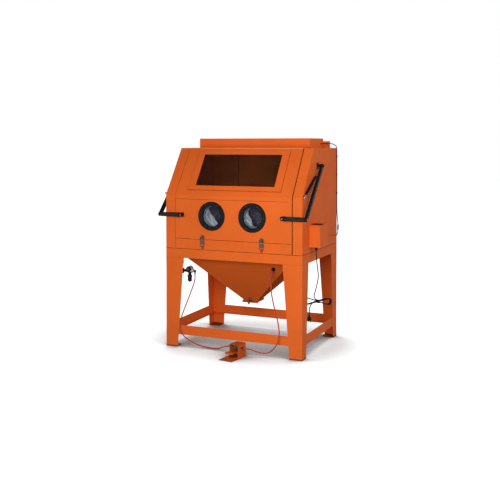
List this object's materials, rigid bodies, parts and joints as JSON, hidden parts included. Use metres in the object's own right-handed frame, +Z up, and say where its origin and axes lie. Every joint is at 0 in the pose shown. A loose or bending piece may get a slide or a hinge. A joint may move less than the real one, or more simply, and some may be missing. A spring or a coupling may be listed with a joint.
{
  "type": "sandblast cabinet",
  "caption": "Free-standing sandblast cabinet on a legged stand, with a lifting windowed front, glove ports, hopper, light box, control box and foot pedal.",
  "frame": {"origin": "middle of the floor bolt pattern, at floor level", "axes": "+Z up, the lifting front faces -Y, +X towards the control box"},
  "size_m": [1.4221, 1.2194, 1.759],
  "materials": {
    "orange_paint": "satin powder coat",
    "black_steel": "satin black paint",
    "black_plastic": "matt moulded",
    "smoked_plastic": "gloss moulded",
    "grip_rubber": "matt foam rubber",
    "zinc_steel": "bright zinc plate",
    "rod_chrome": "ground and plated",
    "cast_alloy": "die-cast",
    "window_glass": "clear, slightly frosted by grit",
    "lamp_plastic": "translucent white",
    "glove_rubber": "soft, creased",
    "red_hose": "smooth",
    "black_cord": "matt sheath"
  },
  "bodies": {
    "root": {"leg_front_left": "orange_paint", "leg_front_right": "orange_paint", "leg_rear_left": "orange_paint", "leg_rear_right": "orange_paint", "top_rails": "orange_paint", "lower_rails": "orange_paint", "side_left": "orange_paint", "side_right": "orange_paint", "back_panel": "orange_paint", "roof_panel": "orange_paint", "jamb_left": "orange_paint", "jamb_right": "orange_paint", "sill_panel": "orange_paint", "hopper": "orange_paint", "hopper_collar": "orange_paint", "grate_ledges": "orange_paint", "lamp_housing": "orange_paint", "vent_box": "orange_paint", "exhaust_spigot": "orange_paint", "control_box": "orange_paint", "pedal_base": "orange_paint", "latch_keepers": "orange_paint", "pivot_plates": "black_steel", "regulator": "black_steel", "hose_bulkhead": "black_steel", "cord_gland": "black_plastic", "plug": "black_plastic", "hank_tie": "black_plastic", "filter_bowl": "smoked_plastic", "strut_studs": "zinc_steel", "work_grate": "zinc_steel", "pedal_valve": "cast_alloy", "blast_gun": "cast_alloy", "lamp_lens": "lamp_plastic", "lamp_tubes": "lamp_plastic", "supply_hose": "red_hose", "blast_hose": "red_hose", "cord_runs": "black_cord", "cord_hank": "black_cord", "lamp_lead": "black_cord"},
    "door": {"door_panel": "orange_paint", "window_frame": "orange_paint", "window_glass": "window_glass", "glove_rings": "black_plastic", "glove_left": "glove_rubber", "glove_right": "glove_rubber", "lift_arms": "black_steel", "arm_grips": "grip_rubber", "latch_bases": "zinc_steel"},
    "latch_lever_left": {"latch_lever_left": "zinc_steel"},
    "latch_lever_right": {"latch_lever_right": "zinc_steel"},
    "latch_loop_left": {"latch_loop_left": "zinc_steel"},
    "latch_loop_right": {"latch_loop_right": "zinc_steel"},
    "strut_rods": {"strut_rods": "rod_chrome"},
    "strut_cylinders": {"strut_cylinders": "black_steel"},
    "gate": {"hopper_gate": "orange_paint"},
    "gate_latch": {"gate_latch": "black_steel"},
    "power_switch": {"power_switch": "black_plastic"},
    "regulator_knob": {"regulator_knob": "black_plastic"},
    "treadle": {"pedal_treadle": "orange_paint"}
  },
  "joints": [
    {"name": "door_lift", "type": "hinge", "parent": "root", "child": "door", "pos_m": [0, -0.085, 1.53], "axis": [-1, 0, 0], "range_deg": [0, 40]},
    {"name": "strut_rod_swing", "type": "hinge", "parent": "root", "child": "strut_rods", "pos_m": [0, -0.435, 1.292], "axis": [1, 0, 0], "range_deg": [0, 16]},
    {"name": "strut_cylinder_swing", "type": "hinge", "parent": "door", "child": "strut_cylinders", "pos_m": [0, -0.169, 1.443], "axis": [1, 0, 0], "range_deg": [0, 56]},
    {"name": "gate_swing", "type": "hinge", "parent": "root", "child": "gate", "pos_m": [0, 0.078, 0.352], "axis": [1, 0, 0], "range_deg": [0, 90]},
    {"name": "gate_latch_turn", "type": "hinge", "parent": "root", "child": "gate_latch", "pos_m": [0, -0.0943, 0.382], "axis": [0, 1, 0], "range_deg": [0, 90]},
    {"name": "switch_rock", "type": "hinge", "parent": "root", "child": "power_switch", "pos_m": [0.655, -0.215, 1.061], "axis": [0, 1, 0], "range_deg": [0, 10]},
    {"name": "knob_turn", "type": "hinge", "parent": "root", "child": "regulator_knob", "pos_m": [-0.40738, -0.4283, 0.66], "axis": [0, 1, 0], "range_deg": [-360, 360]},
    {"name": "treadle_press", "type": "hinge", "parent": "root", "child": "treadle", "pos_m": [0.0972, -0.4992, 0.04], "axis": [0.986, -0.1668, 0], "range_deg": [0, 10], "stiffness_Nm_per_rad": 2, "springref_deg": -17.19},
    {"name": "lever_left_flip", "type": "hinge", "parent": "door", "child": "latch_lever_left", "pos_m": [-0.265, -0.464, 0.93], "axis": [1, 0, 0], "range_deg": [0, 150]},
    {"name": "loop_left_swing", "type": "hinge", "parent": "latch_lever_left", "child": "latch_loop_left", "pos_m": [-0.265, -0.464, 0.939], "axis": [1, 0, 0], "range_deg": [-150, 0]},
    {"name": "lever_right_flip", "type": "hinge", "parent": "door", "child": "latch_lever_right", "pos_m": [0.265, -0.464, 0.93], "axis": [1, 0, 0], "range_deg": [0, 150]},
    {"name": "loop_right_swing", "type": "hinge", "parent": "latch_lever_right", "child": "latch_loop_right", "pos_m": [0.265, -0.464, 0.939], "axis": [1, 0, 0], "range_deg": [-150, 0]}
  ],
  "couplings": [
    {"joint": "strut_rod_swing", "follows": "door_lift", "ratio": 0.379},
    {"joint": "strut_cylinder_swing", "follows": "door_lift", "ratio": 1.379},
    {"joint": "loop_left_swing", "follows": "lever_left_flip", "ratio": -1},
    {"joint": "loop_right_swing", "follows": "lever_right_flip", "ratio": -1}
  ]
}
